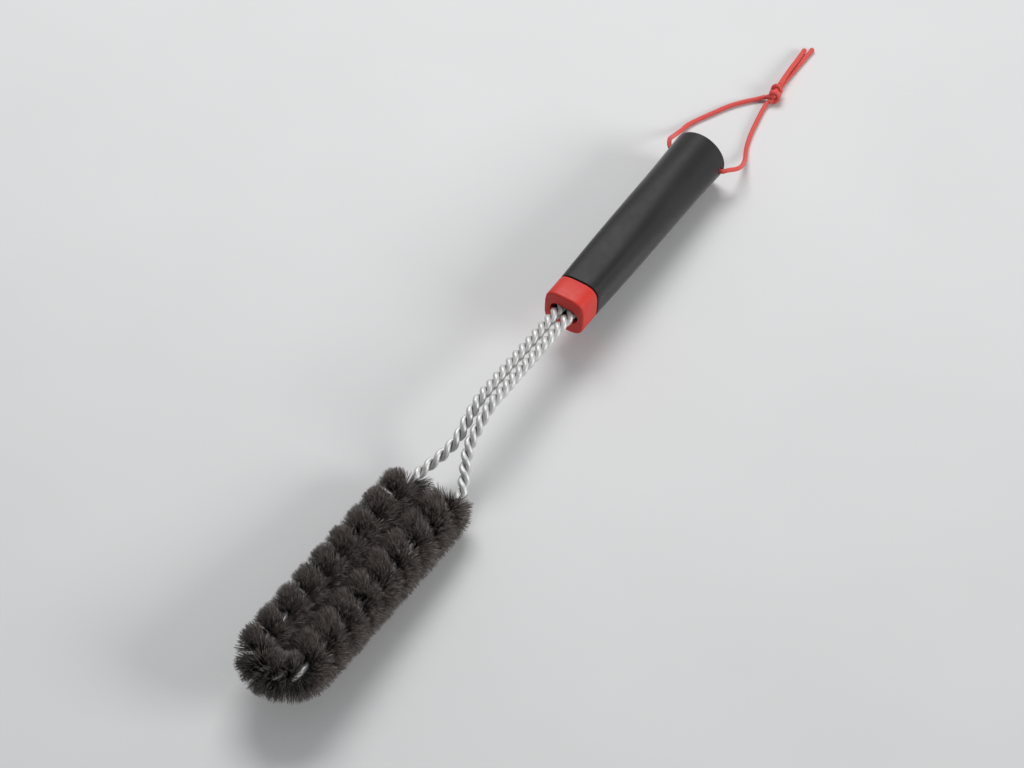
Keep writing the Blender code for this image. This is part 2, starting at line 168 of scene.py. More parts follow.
# ---- meshes --------------------------------------------------------------------------
def ring_quads(rows, columns, closed=False):
    """Quads between rings of points; closed joins the last ring to the first."""
    i = np.arange(rows if closed else rows - 1)[:, None] * columns
    j = np.arange(columns)[None, :]
    right = (j + 1) % columns
    following = (i + columns) % (rows * columns)
    quads = np.stack((i + j, i + right, following + right, following + j), axis=-1)
    return quads.reshape(-1, 4)


def new_piece(name, vertices, quads, material, caps=(), values=None, sharp=None):
    """A smooth mesh object from arrays. caps are extra polygons, one list of indices each;
    values are float attributes, one number for each vertex; edges sharper than the angle
    sharp stay crisp."""
    caps = [np.asarray(cap).ravel() for cap in caps]
    loops = np.concatenate([quads.ravel()] + caps)
    sizes = np.array([quads.shape[1]] * len(quads) + [len(cap) for cap in caps])
    mesh = bpy.data.meshes.new(name)
    mesh.vertices.add(len(vertices))
    mesh.vertices.foreach_set("co", np.asarray(vertices, np.float32).ravel())
    mesh.loops.add(len(loops))
    mesh.loops.foreach_set("vertex_index", loops.astype(np.int32))
    mesh.polygons.add(len(sizes))
    starts = np.concatenate(([0], np.cumsum(sizes)[:-1])).astype(np.int32)
    mesh.polygons.foreach_set("loop_start", starts)
    mesh.update(calc_edges=True)
    mesh.validate()
    for label, numbers in (values or {}).items():
        attribute = mesh.attributes.new(label, "FLOAT", "POINT")
        attribute.data.foreach_set("value", np.asarray(numbers, np.float32).ravel())
    mesh.shade_smooth()
    if sharp:
        mesh.set_sharp_from_angle(angle=sharp)
    mesh.materials.append(material)
    piece = bpy.data.objects.new(name, mesh)
    bpy.context.scene.collection.objects.link(piece)
    return piece


def lathe(name, rings, material, matrix, closed=True):
    """A skin through rings of points; closed joins the last ring to the first."""
    rings = placed(np.array(rings, float), matrix)
    rows, columns = rings.shape[:2]
    caps = [] if closed else [np.arange(columns)[::-1],
                              (rows - 1) * columns + np.arange(columns)]
    quads = ring_quads(rows, columns, closed)
    return new_piece(name, rings.reshape(-1, 3), quads, material, caps, sharp=SHARP_EDGE)


def path_frames(points):
    """Tangent, side and top at each point, turning no more than the path does."""
    points = np.asarray(points, float)
    along = unit(np.gradient(points, axis=0))
    top = np.zeros_like(points)
    side = np.zeros_like(points)
    guide = np.array((0.0, 0.0, 1.0))
    for i, tangent in enumerate(along):
        guide = guide - tangent * (guide @ tangent)
        guide = guide / np.linalg.norm(guide)
        top[i] = guide
        side[i] = np.cross(guide, tangent)
    return along, side, top


def lengths_along(points):
    steps = np.linalg.norm(np.diff(points, axis=0), axis=1)
    return np.concatenate(([0.0], np.cumsum(steps)))


def evenly(points, spacing):
    """The same path with points at an even spacing."""
    done = lengths_along(points)
    count = max(2, int(round(done[-1] / spacing)))
    due = np.linspace(0.0, done[-1], count + 1)
    return np.stack([np.interp(due, done, points[:, k]) for k in range(3)], axis=1)


def smooth_path(route):
    """Many points along a Catmull-Rom curve through a few."""
    route = np.array(route, float)
    guide = np.vstack((2 * route[0] - route[1], route, 2 * route[-1] - route[-2]))
    t = (np.arange(40) / 40)[:, None]
    fine = []
    for a, b, c, d in zip(guide, guide[1:], guide[2:], guide[3:]):
        fine.append(0.5 * (2 * b + (c - a) * t + (2 * a - 5 * b + 4 * c - d) * t ** 2
                           + (3 * b - a - 3 * c + d) * t ** 3))
    return np.vstack(fine + [route[-1:]])


# ---- node materials ------------------------------------------------------------------
class Maker:
    """Builds one material's nodes, with the Principled shader at hand."""

    def __init__(self, name):
        self.material = bpy.data.materials.new(name)
        self.material.use_nodes = True
        self.nodes = self.material.node_tree.nodes
        self.links = self.material.node_tree.links
        self.shader = self.nodes["Principled BSDF"]

    def add(self, kind, settings=None, **sockets):
        """A node; sockets are numbers, or outputs of other nodes, by input name."""
        made = self.nodes.new(kind)
        for label, value in (settings or {}).items():
            setattr(made, label, value)
        for label, value in sockets.items():
            self.put(made.inputs[label.replace("_", " ")], value)
        return made

    def put(self, socket, value):
        if isinstance(value, bpy.types.NodeSocket):
            self.links.new(value, socket)
        else:
            socket.default_value = value

    def place(self):
        return self.add("ShaderNodeTexCoord").outputs["Object"]

    def value(self, label):
        return self.add("ShaderNodeAttribute", {"attribute_name": label}).outputs["Fac"]

    def noise(self, scale, detail=4.0, roughness=0.55, vector=None):
        made = self.add("ShaderNodeTexNoise", Scale=scale, Detail=detail, Roughness=roughness,
                        Vector=vector or self.place())
        return made.outputs["Fac"]

    def cells(self, scale, vector=None):
        made = self.add("ShaderNodeTexVoronoi", Scale=scale, Vector=vector or self.place())
        return made.outputs["Distance"]

    def ramp(self, factor, *stops):
        """stops are (position, value), where a value is a number or a colour."""
        made = self.add("ShaderNodeValToRGB", Fac=factor)
        elements = made.color_ramp.elements
        while len(elements) < len(stops):
            elements.new(0.5)
        for element, (position, value) in zip(elements, stops):
            element.position = position
            colour = value if isinstance(value, tuple) else (value, value, value)
            element.color = (*colour, 1.0)
        return made.outputs["Color"]

    def mix(self, factor, a, b, blend="MIX"):
        made = self.add("ShaderNodeMix", {"data_type": "RGBA", "blend_type": blend})
        for index, value in ((0, factor), (6, a), (7, b)):
            if isinstance(value, tuple):
                value = (*value, 1.0)
            self.put(made.inputs[index], value)
        return made.outputs[2]

    def bump(self, height, strength, distance, under=None):
        made = self.add("ShaderNodeBump", Height=height, Strength=strength,
                        Distance=distance)
        if under:
            self.links.new(under, made.inputs["Normal"])
        return made.outputs["Normal"]

    def surface(self, **sockets):
        for label, value in sockets.items():
            self.put(self.shader.inputs[label.replace("_", " ")], value)
        return self.material


def grip_plastic():
    """Charcoal moulded plastic: a fine spark-eroded grain with faint handling marks."""
    m = Maker("grip_charcoal")
    patches = m.noise(38.0, 5.0)
    colour = m.ramp(patches, (0.30, (0.015, 0.0142, 0.0148)), (0.72, (0.021, 0.0199, 0.0207)))
    grain = m.noise(5200.0, 2.0, 0.6)
    colour = m.mix(m.ramp(grain, (0.35, 0.0), (0.75, 0.35)), colour, (0.045, 0.043, 0.045))
    rub = m.noise(160.0, 6.0, 0.65)
    roughness = m.ramp(rub, (0.30, 0.42), (0.75, 0.54))
    fine = m.bump(grain, 0.16, 0.00010)
    return m.surface(Base_Color=colour, Roughness=roughness, Normal=fine,
                     Specular_IOR_Level=0.20, Sheen_Weight=0.75, Sheen_Roughness=0.30)


def collar_plastic():
    """Glossier red plastic with a soft moulded unevenness."""
    m = Maker("collar_red")
    patches = m.noise(60.0, 4.0)
    colour = m.ramp(patches, (0.30, (0.52, 0.028, 0.020)), (0.75, (0.60, 0.038, 0.027)))
    grain = m.noise(3800.0, 2.0)
    colour = m.mix(m.ramp(grain, (0.40, 0.0), (0.80, 0.30)), colour, (0.78, 0.055, 0.038))
    roughness = m.ramp(m.noise(300.0, 5.0), (0.30, 0.42), (0.75, 0.54))
    waves = m.bump(m.noise(240.0, 3.0), 0.10, 0.00020)
    fine = m.bump(grain, 0.12, 0.00008, waves)
    return m.surface(Base_Color=colour, Roughness=roughness, Normal=fine,
                     Specular_IOR_Level=0.32)


def core_plastic():
    m = Maker("core_black_nylon")
    patches = m.noise(120.0, 5.0)
    colour = m.ramp(patches, (0.30, (0.014, 0.014, 0.015)), (0.75, (0.026, 0.025, 0.025)))
    grain = m.cells(1500.0)
    roughness = m.ramp(m.noise(500.0), (0.30, 0.42), (0.75, 0.58))
    return m.surface(Base_Color=colour, Roughness=roughness,
                     Normal=m.bump(grain, 0.18, 0.00010))


def fitting_steel():
    m = Maker("plated_steel")
    patches = m.noise(420.0, 5.0)
    colour = m.ramp(patches, (0.30, (0.44, 0.44, 0.42)), (0.75, (0.60, 0.60, 0.57)))
    roughness = m.ramp(m.noise(900.0), (0.30, 0.24), (0.75, 0.40))
    return m.surface(Base_Color=colour, Roughness=roughness, Metallic=1.0,
                     Normal=m.bump(patches, 0.10, 0.00008))


def wire_steel():
    """Galvanised wire: pale zinc with drawing lines along it, and painted shade where the two
    strands meet. seat is 1 on the side that faces the other strand."""
    m = Maker("galvanised_wire")
    lines = m.add("ShaderNodeCombineXYZ", X=m.value("around"), Y=m.value("along")).outputs[0]
    drawn = m.noise(9.0, 4.0, 0.6, lines)
    spangle = m.cells(520.0)
    colour = m.ramp(m.noise(700.0, 5.0), (0.28, (0.54, 0.54, 0.53)), (0.75, (0.80, 0.80, 0.79)))
    colour = m.mix(m.ramp(drawn, (0.35, 0.0), (0.70, 0.30)), colour, (0.46, 0.46, 0.45))
    # Painted shade: the colour darkens on the side that presses against the other strand.
    strand_gap_shade = m.ramp(m.value("seat"), (0.60, 0.0), (0.98, 0.75))
    colour = m.mix(strand_gap_shade, colour, (0.16, 0.15, 0.14))
    roughness = m.ramp(m.noise(1500.0, 4.0), (0.30, 0.48), (0.75, 0.62))
    streaks = m.bump(drawn, 0.45, 0.00012)
    zinc = m.bump(spangle, 0.40, 0.00016, streaks)
    return m.surface(Base_Color=colour, Roughness=roughness, Metallic=0.60, Normal=zinc)


def bristle_fibre():
    """Black-brown fibre: tip is 0 at the wire and 1 at the cut end, tone differs by hair.
    Its colour is painted shade at the roots and painted light towards the cut ends.
    """
    m = Maker("bristle_fibre")
    along = m.value("tip")
    # Painted shade and light: very dark at the roots, where the hairs shade each other, and
    # much lighter towards the lit cut ends.
    body = m.ramp(along, (0.10, (0.008, 0.0064, 0.0056)), (0.70, (0.024, 0.0197, 0.0172)),
                  (1.00, (0.070, 0.057, 0.051)))
    # The pale hairs are scattered at random and made pale enough to stand in for glints: random
    # tone in part, painted highlight in part.
    pale = m.ramp(m.value("tone"), (0.56, 0.0), (0.92, 1.0))
    colour = m.mix(pale, body, (0.260, 0.217, 0.195))
    roughness = m.ramp(m.value("tone"), (0.0, 0.46), (1.0, 0.26))
    return m.surface(Base_Color=colour, Roughness=roughness,
                     Normal=m.bump(m.noise(4000.0, 2.0), 0.10, 0.00005))


def cord_fibre():
    """Red braided cord: weave is the braid's relief; the colour follows it, with painted shade
    between the yarns and a painted highlight on their crowns.
    """
    m = Maker("cord_red")
    relief = m.value("weave")
    # Painted shade in the hollows between the yarns, painted highlight on the yarn crowns.
    colour = m.ramp(relief, (0.05, (0.24, 0.008, 0.007)), (0.55, (0.58, 0.034, 0.027)),
                    (1.00, (0.74, 0.075, 0.060)))
    flecks = m.ramp(m.noise(2600.0, 3.0), (0.45, 0.0), (0.85, 0.35))
    colour = m.mix(flecks, colour, (0.86, 0.26, 0.22))
    roughness = m.ramp(relief, (0.0, 0.80), (1.0, 0.52))
    fibres = m.bump(m.noise(7000.0, 2.0), 0.25, 0.00006)
    return m.surface(Base_Color=colour, Roughness=roughness, Normal=fibres,
                     Sheen_Weight=0.25, Sheen_Roughness=0.40)


def table_top():
    m = Maker("pale_table")
    colour = m.ramp(m.noise(6.0, 3.0), (0.30, (0.64, 0.64, 0.64)), (0.75, (0.67, 0.67, 0.67)))
    return m.surface(Base_Color=colour, Roughness=0.65)


# ---- camera, lights and table --------------------------------------------------------
def aimed(thing, place, at):
    thing.location = place
    thing.rotation_mode = "QUATERNION"
    thing.rotation_quaternion = (Vector(at) - Vector(place)).to_track_quat("-Z", "Y")


def add_camera():
    data = bpy.data.cameras.new("camera")
    data.lens = CAMERA_LENS
    data.sensor_width = SENSOR_WIDTH
    camera = bpy.data.objects.new("camera", data)
    aimed(camera, CAMERA_PLACE, CAMERA_AIM)
    bpy.context.scene.collection.objects.link(camera)
    bpy.context.scene.camera = camera


def add_lamp(name, place, at, width, height, power):
    data = bpy.data.lights.new(name, "AREA")
    data.shape = "RECTANGLE"
    data.size = width
    data.size_y = height
    data.energy = power
    lamp = bpy.data.objects.new(name, data)
    aimed(lamp, place, at)
    bpy.context.scene.collection.objects.link(lamp)


def set_view():
    """Plain colours: no filmic curve, which would wash out the red."""
    bpy.context.scene.view_settings.view_transform = "Standard"


def add_world():
    world = bpy.data.worlds.new("studio")
    world.use_nodes = True
    sky = world.node_tree.nodes["Background"]
    sky.inputs["Color"].default_value = (0.90, 0.92, 0.95, 1.0)
    sky.inputs["Strength"].default_value = 0.30
    bpy.context.scene.world = world


def add_table():
    reach = 6.0
    corners = np.array([(-reach, -reach, 0), (reach, -reach, 0), (reach, reach, 0),
                        (-reach, reach, 0)], float)
    table = new_piece("table_top", corners, np.array([[0, 1, 2, 3]]), table_top())


# ---- hanging cord --------------------------------------------------------------------
def braided(name, path, material, round_ends=(False, False)):
    """A braided cord along path: two families of yarns wind round it opposite ways and
    pass over and under each other."""
    path = evenly(path, BRAID_STEP)
    done = lengths_along(path)
    _, side, top = path_frames(path)
    turn = 2 * pi * np.arange(BRAID_SIDES) / BRAID_SIDES
    yarn_a = BRAID_YARNS * (turn[None, :] / (2 * pi) + done[:, None] / BRAID_LAY)
    yarn_b = BRAID_YARNS * (turn[None, :] / (2 * pi) - done[:, None] / BRAID_LAY)
    over = np.cos(pi * (yarn_b - 0.5 + np.floor(yarn_a)))
    under = -np.cos(pi * (yarn_a - 0.5 + np.floor(yarn_b)))
    crown_a = np.sqrt(1 - (2 * (yarn_a % 1) - 1) ** 2)
    crown_b = np.sqrt(1 - (2 * (yarn_b % 1) - 1) ** 2)
    weave = np.maximum(crown_a * (0.62 + 0.38 * over), crown_b * (0.62 + 0.38 * under))
    reach = np.full(len(path), CORD_RADIUS)
    for end, left in ((0, done), (1, done[-1] - done)):
        if round_ends[end]:
            swell = 1 + 0.10 * np.exp(-((left - CORD_RADIUS) / CORD_RADIUS) ** 2)
            cap = np.sqrt(np.clip(1 - (1 - left / CORD_RADIUS) ** 2, 0.0009, 1))
            reach = reach * np.where(left < CORD_RADIUS, cap, 1) * swell
    fullness = np.clip(reach / CORD_RADIUS, 0, 1)
    out = reach[:, None] + BRAID_RELIEF * (weave - 0.6) * fullness[:, None]
    across = side[:, None, :] * np.cos(turn)[None, :, None]
    upright = top[:, None, :] * np.sin(turn)[None, :, None]
    rings = path[:, None, :] + out[:, :, None] * (across + upright)
    rows = len(path)
    caps = [np.arange(BRAID_SIDES)[::-1], (rows - 1) * BRAID_SIDES + np.arange(BRAID_SIDES)]
    return new_piece(name, rings.reshape(-1, 3), ring_quads(rows, BRAID_SIDES), material,
                     caps, {"weave": weave})


def cord_route(offsets, straight=True):
    """A cord's path from a few offsets from the cross hole's centre. The first stretch,
    out of the hole, is straight."""
    points = np.array(offsets, float) + np.array(HOLE)
    if straight:
        return np.vstack((points[:1], smooth_path(points[1:])))
    return smooth_path(points)


def knot_wraps():
    """Three turns of cord drawn tight round the knot, each leaning across the next. Their
    ends dive into it."""
    centre = np.array((HOLE.x + KNOT_PLACE[0], KNOT_PLACE[1], KNOT_SIZE[2] + GAP / 2))
    across, upright = np.array(KNOT_SIZE[1:]) - CORD_RADIUS
    turns = np.linspace(0.0, 1.0, 160)
    pull = 1 - 0.75 * (ease((0.10 - turns) / 0.10) + ease((turns - 0.90) / 0.10))
    paths = []
    for shift, lean, first in KNOT_TURNS:
        angle = 2 * pi * 1.12 * turns + first
        x = shift + lean * np.sin(angle)
        y = across * np.cos(angle) * pull
        z = upright * np.sin(angle) * pull
        level_x = x * cos(KNOT_TURN) - y * sin(KNOT_TURN)
        level_y = x * sin(KNOT_TURN) + y * cos(KNOT_TURN)
        paths.append(centre + np.stack((level_x, level_y, z), axis=1))
    return paths


def add_cord(material):
    rest = CORD_RADIUS + GAP / 2 - HOLE.z
    side = GRIP_BUTT_HALF + GAP
    left = cord_route((
        (0, side, 0), (0.0002, side + 0.0010, 0), (0.0024, 0.0180, -0.0002),
        (0.0068, 0.0200, -0.0022), (0.0140, 0.0216, -0.0078), (0.0220, 0.0222, -0.0122),
        (0.0300, 0.0213, rest), (0.0440, 0.0143, rest), (0.0520, 0.0098, rest),
        (0.0589, 0.0045, rest), (0.0634, 0.0004, rest), (0.0668, -0.0035, rest + 0.0010)))
    right = cord_route((
        (0, -side, 0), (0.0002, -side - 0.0010, 0), (0.0028, -0.0182, -0.0002),
        (0.0085, -0.0202, -0.0034), (0.0150, -0.0195, -0.0078), (0.0224, -0.0170, -0.0118),
        (0.0318, -0.0126, rest), (0.0410, -0.0098, rest), (0.0505, -0.0079, rest),
        (0.0595, -0.0064, rest), (0.0640, -0.0062, rest + 0.0006)))
    tails = {
        "cord_tail_a": ((0.0770, -0.0062, rest + 0.0027), (0.0870, -0.0055, rest + 0.0025),
                        (0.0970, -0.0051, rest + 0.0021), (0.1075, -0.0043, rest + 0.0008)),
        "cord_tail_b": ((0.0770, -0.0062, rest), (0.0870, -0.0066, rest),
                        (0.0970, -0.0069, rest), (0.1108, -0.0074, rest)),
    }
    inner = np.array([(0, side * k, 0) for k in np.linspace(-1, 1, 9)]) + np.array(HOLE)
    pieces = {
        "cord_left": (left, "hang_cord_left", (False, False)),
        "cord_right": (right, "hang_cord_right", (False, False)),
        "cord_inner": (inner, "hang_cord_inner", (False, False)),
    }
    for name, offsets in tails.items():
        pieces[name] = (cord_route(offsets, straight=False), "hang_" + name, (False, True))
    made = {}
    for name, (path, node, round_ends) in pieces.items():
        made[name] = braided(name, path, material, round_ends=round_ends)
        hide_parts(node)
    knot = add_knot(material, left[-1], right[-1], pieces)
    made["cord_knot"] = knot
    for piece in made.values():
        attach(piece, "hang_loop")


def add_knot(material, left_end, right_end, pieces):
    """The knot: both legs run through it to the tails, under the turns that grip them."""
    centre = np.array((HOLE.x + KNOT_PLACE[0], KNOT_PLACE[1], KNOT_SIZE[2]))
    reach = 0.0028 * np.array((cos(KNOT_TURN), sin(KNOT_TURN), 0))
    strands = []
    for start, name, lift in ((left_end, "cord_tail_a", 0.0011),
                              (right_end, "cord_tail_b", -0.0011)):
        middle = centre + np.array((0, 0, lift))
        route = [start, middle - reach, middle + reach, pieces[name][0][0]]
        strands.append(smooth_path(route))
    parts = []
    for index, path in enumerate(strands + knot_wraps()):
        parts.append(braided(f"knot_strand_{index}", path, material, (True, True)))
    knot = joined("cord_knot", parts)
    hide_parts("hang_cord_knot")
    return knot


def joined(name, parts):
    """One object from several meshes."""
    bpy.ops.object.select_all(action="DESELECT")
    for part in parts:
        part.select_set(True)
    bpy.context.view_layer.objects.active = parts[0]
    bpy.ops.object.join()
    parts[0].name = name
    parts[0].data.name = name
    return parts[0]


# ---- handle --------------------------------------------------------------------------
def grip_section(x):
    """Half size and superellipse power of the grip's section."""
    along = x / GRIP_LENGTH
    half = GRIP_FRONT_HALF + (GRIP_BUTT_HALF - GRIP_FRONT_HALF) * along
    power = GRIP_FRONT_POWER + (2.0 - GRIP_FRONT_POWER) * float(ease(along / 0.85))
    return half, power


def section(x, half, power=2.0, count=96):
    """A ring across the X axis: a superellipse of the given half size and power."""
    angle = 2 * pi * np.arange(count) / count
    c, s = np.cos(angle), np.sin(angle)
    reach = half / (np.abs(c) ** power + np.abs(s) ** power) ** (1 / power)
    return np.stack((np.full(count, x), reach * c, reach * s), axis=1)


def oval(x, half_spacing, radius, count=96):
    """A ring across the X axis: two half circles of one radius, joined by flats."""
    angle = 2 * pi * (np.arange(count) + 0.5) / count
    shift = np.where(np.cos(angle) > 0, half_spacing, -half_spacing)
    return np.stack((np.full(count, x), shift + radius * np.cos(angle),
                     radius * np.sin(angle)), axis=1)


def quarter(count):
    """Turns from 0 to a quarter, for a rounded edge."""
    return [pi / 2 * i / count for i in range(count + 1)]


def with_hole(piece):
    """piece with the cord's cross hole cut through it."""
    rings = [section(x, HOLE_RADIUS, count=48) for x in (-0.03, 0.03)]
    turn = Matrix.Translation(HOLE) @ Matrix.Rotation(pi / 2, 4, "Z")
    cutter = lathe("hole_cutter", rings, piece.data.materials[0], turn, closed=False)
    modifier = piece.modifiers.new("cord_hole", "BOOLEAN")
    modifier.solver = "EXACT"
    modifier.object = cutter
    bpy.context.view_layer.update()
    shape = bpy.data.meshes.new_from_object(piece.evaluated_get(
        bpy.context.evaluated_depsgraph_get()))
    piece.modifiers.clear()
    piece.data = shape
    bpy.data.objects.remove(cutter)
    shape.shade_smooth()
    shape.set_sharp_from_angle(angle=SHARP_EDGE)
    return piece


def add_grip(material):
    edge = 0.0004
    rings = []
    half, power = grip_section(0.0)
    for turn in quarter(4):
        rings.append(section(edge * (1 - cos(turn)), half - edge * (1 - sin(turn)), power))
    rim = GRIP_LENGTH - RIM_ROUND
    for x in np.linspace(edge, rim, 60)[1:]:
        rings.append(section(x, *grip_section(x)))
    for turn in quarter(8)[1:]:
        inset = RIM_ROUND * (1 - cos(turn))
        rings.append(section(rim + RIM_ROUND * sin(turn), GRIP_BUTT_HALF - inset))
    seat = GRIP_LENGTH - PLUG_LENGTH - 2 * GAP
    mouth = PLUG_RADIUS + GAP
    for x, radius in ((GRIP_LENGTH, mouth + 0.0003), (GRIP_LENGTH - 0.0003, mouth),
                      (seat, mouth), (seat, BORE_RADIUS), (0.0, BORE_RADIUS)):
        rings.append(section(x, radius))
    grip = with_hole(lathe("grip_shell", rings, material, HANDLE_FRAME))
    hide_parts("handle_grip")
    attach(grip, "brush")


def add_plug(material):
    """The end plug: flat, with a shallow ring groove and a rounded edge."""
    end = GRIP_LENGTH - GAP
    start = end - PLUG_LENGTH
    bevel = 0.0008
    rings = [section(start, PLUG_RADIUS - bevel), section(start + bevel, PLUG_RADIUS)]
    for turn in quarter(5):
        rings.append(section(end - bevel * (1 - sin(turn)),
                             PLUG_RADIUS - bevel * (1 - cos(turn))))
    for radius, depth in ((0.0092, 0.0), (0.0090, 0.0004), (0.0084, 0.0004), (0.0082, 0.0),
                          (0.0010, 0.0), (0.0008, 0.0002)):
        rings.append(section(end - depth, radius))
    plug = with_hole(lathe("end_plug", rings, material, HANDLE_FRAME, closed=False))
    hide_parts("butt_plug")
    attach(plug, "brush")


def add_collar(material):
    half, power = grip_section(0.0)
    front = -COLLAR_LENGTH
    rings = []
    for turn in quarter(8):
        rings.append(section(front + COLLAR_ROUND * (1 - cos(turn)),
                             half - COLLAR_ROUND * (1 - sin(turn)), power))
    small = 0.00025
    for turn in quarter(3):
        rings.append(section(-GROOVE_LENGTH - small * (1 - sin(turn)),
                             half - small * (1 - cos(turn)), power))
    for x in (-GROOVE_LENGTH, -GAP):
        rings.append(section(x, half - GROOVE_DEPTH, power))
    wall = front + COLLAR_WALL
    spread = SLOT_HALF_WIDTH - SLOT_HALF_HEIGHT
    rings += [section(-GAP, BORE_RADIUS), section(wall, BORE_RADIUS),
              oval(wall, spread, SLOT_HALF_HEIGHT)]
    lip = 0.0005
    for turn in quarter(4):
        rings.append(oval(front + lip * (1 - sin(turn)), spread,
                          SLOT_HALF_HEIGHT + lip * (1 - cos(turn))))
    collar = lathe("collar_shell", rings, material, HANDLE_FRAME)
    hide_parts("front_collar")
    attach(collar, "brush")


def finish_hidden_parts(core, fitting):
    """Better materials for the CAD parts inside the handle, which keep their shapes."""
    for names, material in ((("core_upper", "core_lower"), core),
                            (("crimp_band", "core_screw_left", "core_screw_right"), fitting)):
        for name in names:
            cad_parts[name].material_slots[0].material = material


# ---- twisted wire --------------------------------------------------------------------
def leg_centres(x):
    """Centres of the +Y twisted leg at each x of the brush frame."""
    height = HANDLE_RISE + np.maximum(x, -COLLAR_LENGTH) * tan(HANDLE_TILT)
    drop = ease((x - CRANK_START) / (HEEL - CRANK_START))
    spread = ease((x - SPREAD_START) / (HEEL - SPREAD_START))
    y = LEG_HALF_SPACING + (HEAD_HALF_SPACING - LEG_HALF_SPACING) * spread
    return np.stack((x, y, height + (BRISTLE_RADIUS - height) * drop), axis=1)


def loop_line():
    """The wire loop's centreline in the brush frame, from the +Y end to the -Y end."""
    step = 0.00025
    count = int(round((WIRE_END - LOOP_CENTRE) / step))
    leg = leg_centres(np.linspace(WIRE_END, LOOP_CENTRE, count + 1))
    turns = np.linspace(pi / 2, 3 * pi / 2, int(round(pi * HEAD_HALF_SPACING / step)))[1:-1]
    bend = np.stack((LOOP_CENTRE + HEAD_HALF_SPACING * np.cos(turns),
                     HEAD_HALF_SPACING * np.sin(turns),
                     np.full(len(turns), BRISTLE_RADIUS)), axis=1)
    back = leg[::-1] * np.array((1, -1, 1))
    return np.vstack((leg, bend, back))


def twist_pitch(x):
    """Length of one full turn of the twist at each x of the brush frame."""
    pitch = STEM_PITCH
    for start, end, following in TWIST_CHANGES:
        pitch = pitch + (following - pitch) * ease((x - start) / (end - start))
    return pitch


class Twist:
    """The loop's centreline with its frame, and the angle that the twist has reached."""

    def __init__(self):
        self.line = loop_line()
        self.done = lengths_along(self.line)
        self.along = unit(np.gradient(self.line, axis=0))
        flat = np.stack((-self.along[:, 1], self.along[:, 0], 0 * self.along[:, 0]), axis=1)
        self.across = unit(flat)
        self.above = np.cross(self.along, self.across)
        steps = np.diff(self.done) / twist_pitch(self.line[:-1, 0])
        self.angle = TWIST_START - 2 * pi * np.concatenate(([0.0], np.cumsum(steps)))

    def at(self, distances):
        """Centre, along, across, above and angle at distances along the loop."""
        found = []
        for field in (self.line, self.along, self.across, self.above):
            found.append(np.stack([np.interp(distances, self.done, field[:, k])
                                   for k in range(3)], axis=1))
        return (*found, np.interp(distances, self.done, self.angle))


def add_strand(name, node, phase, twist, material):
    """One wire strand: a left-handed helix round the loop's centreline."""
    distances = np.arange(0.0, twist.done[-1], STRAND_STEP)
    centre, _, across, above, angle = twist.at(distances)
    out = across * np.cos(angle + phase)[:, None] + above * np.sin(angle + phase)[:, None]
    path = centre + TWIST_RADIUS * out
    _, side, top = path_frames(path)
    turn = 2 * pi * np.arange(STRAND_SIDES) / STRAND_SIDES
    spoke = (side[:, None, :] * np.cos(turn)[None, :, None]
             + top[:, None, :] * np.sin(turn)[None, :, None])
    rings = path[:, None, :] + STRAND_RADIUS * spoke
    seat = 0.5 - 0.5 * np.einsum("ijk,ik->ij", spoke, out)
    around = np.tile(turn / (2 * pi), (len(path), 1))
    along = np.repeat(lengths_along(path)[:, None] * 20, STRAND_SIDES, axis=1)
    rows = len(path)
    caps = [np.arange(STRAND_SIDES)[::-1],
            (rows - 1) * STRAND_SIDES + np.arange(STRAND_SIDES)]
    strand = new_piece(name, placed(rings, BRUSH_FRAME).reshape(-1, 3),
                       ring_quads(rows, STRAND_SIDES), material, caps,
                       {"seat": seat, "around": around, "along": along})
    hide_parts(node)
    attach(strand, "brush")


